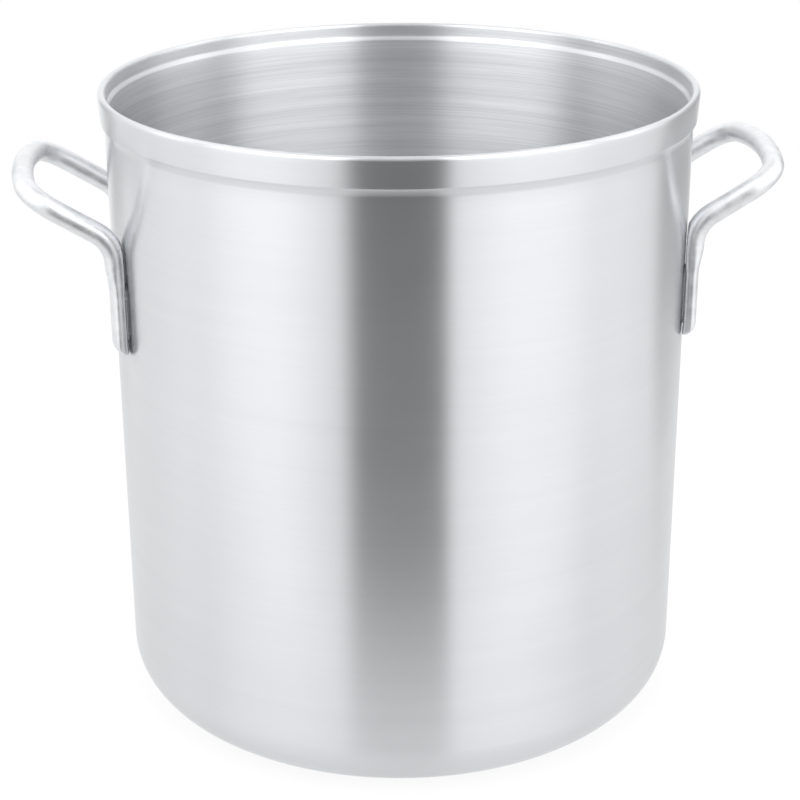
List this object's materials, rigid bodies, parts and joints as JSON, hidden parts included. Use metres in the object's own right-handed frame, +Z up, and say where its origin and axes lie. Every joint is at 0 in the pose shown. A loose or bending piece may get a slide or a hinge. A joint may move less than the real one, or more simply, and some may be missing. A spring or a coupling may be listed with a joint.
{
  "type": "stock pot",
  "caption": "Tall round aluminium cooking pot with a flat base, a stepped rolled rim, an open top and bent-rod loop handles.",
  "frame": {"origin": "centre of the flat base, on the surface that the pot stands on", "axes": "+Z up along the pot's axis; +X towards the right handle; -Y towards the viewer"},
  "size_m": [0.474, 0.3666, 0.399],
  "materials": {
    "shell": "satin, spun round the axis",
    "rod": "bright, lightly scuffed",
    "weld": "dull grey weld"
  },
  "bodies": {
    "root": {"pot_body": "shell", "handle_left": "rod", "handle_right": "rod", "weld_left_front": "weld", "weld_left_rear": "weld", "weld_right_front": "weld", "weld_right_rear": "weld"}
  },
  "joints": []
}
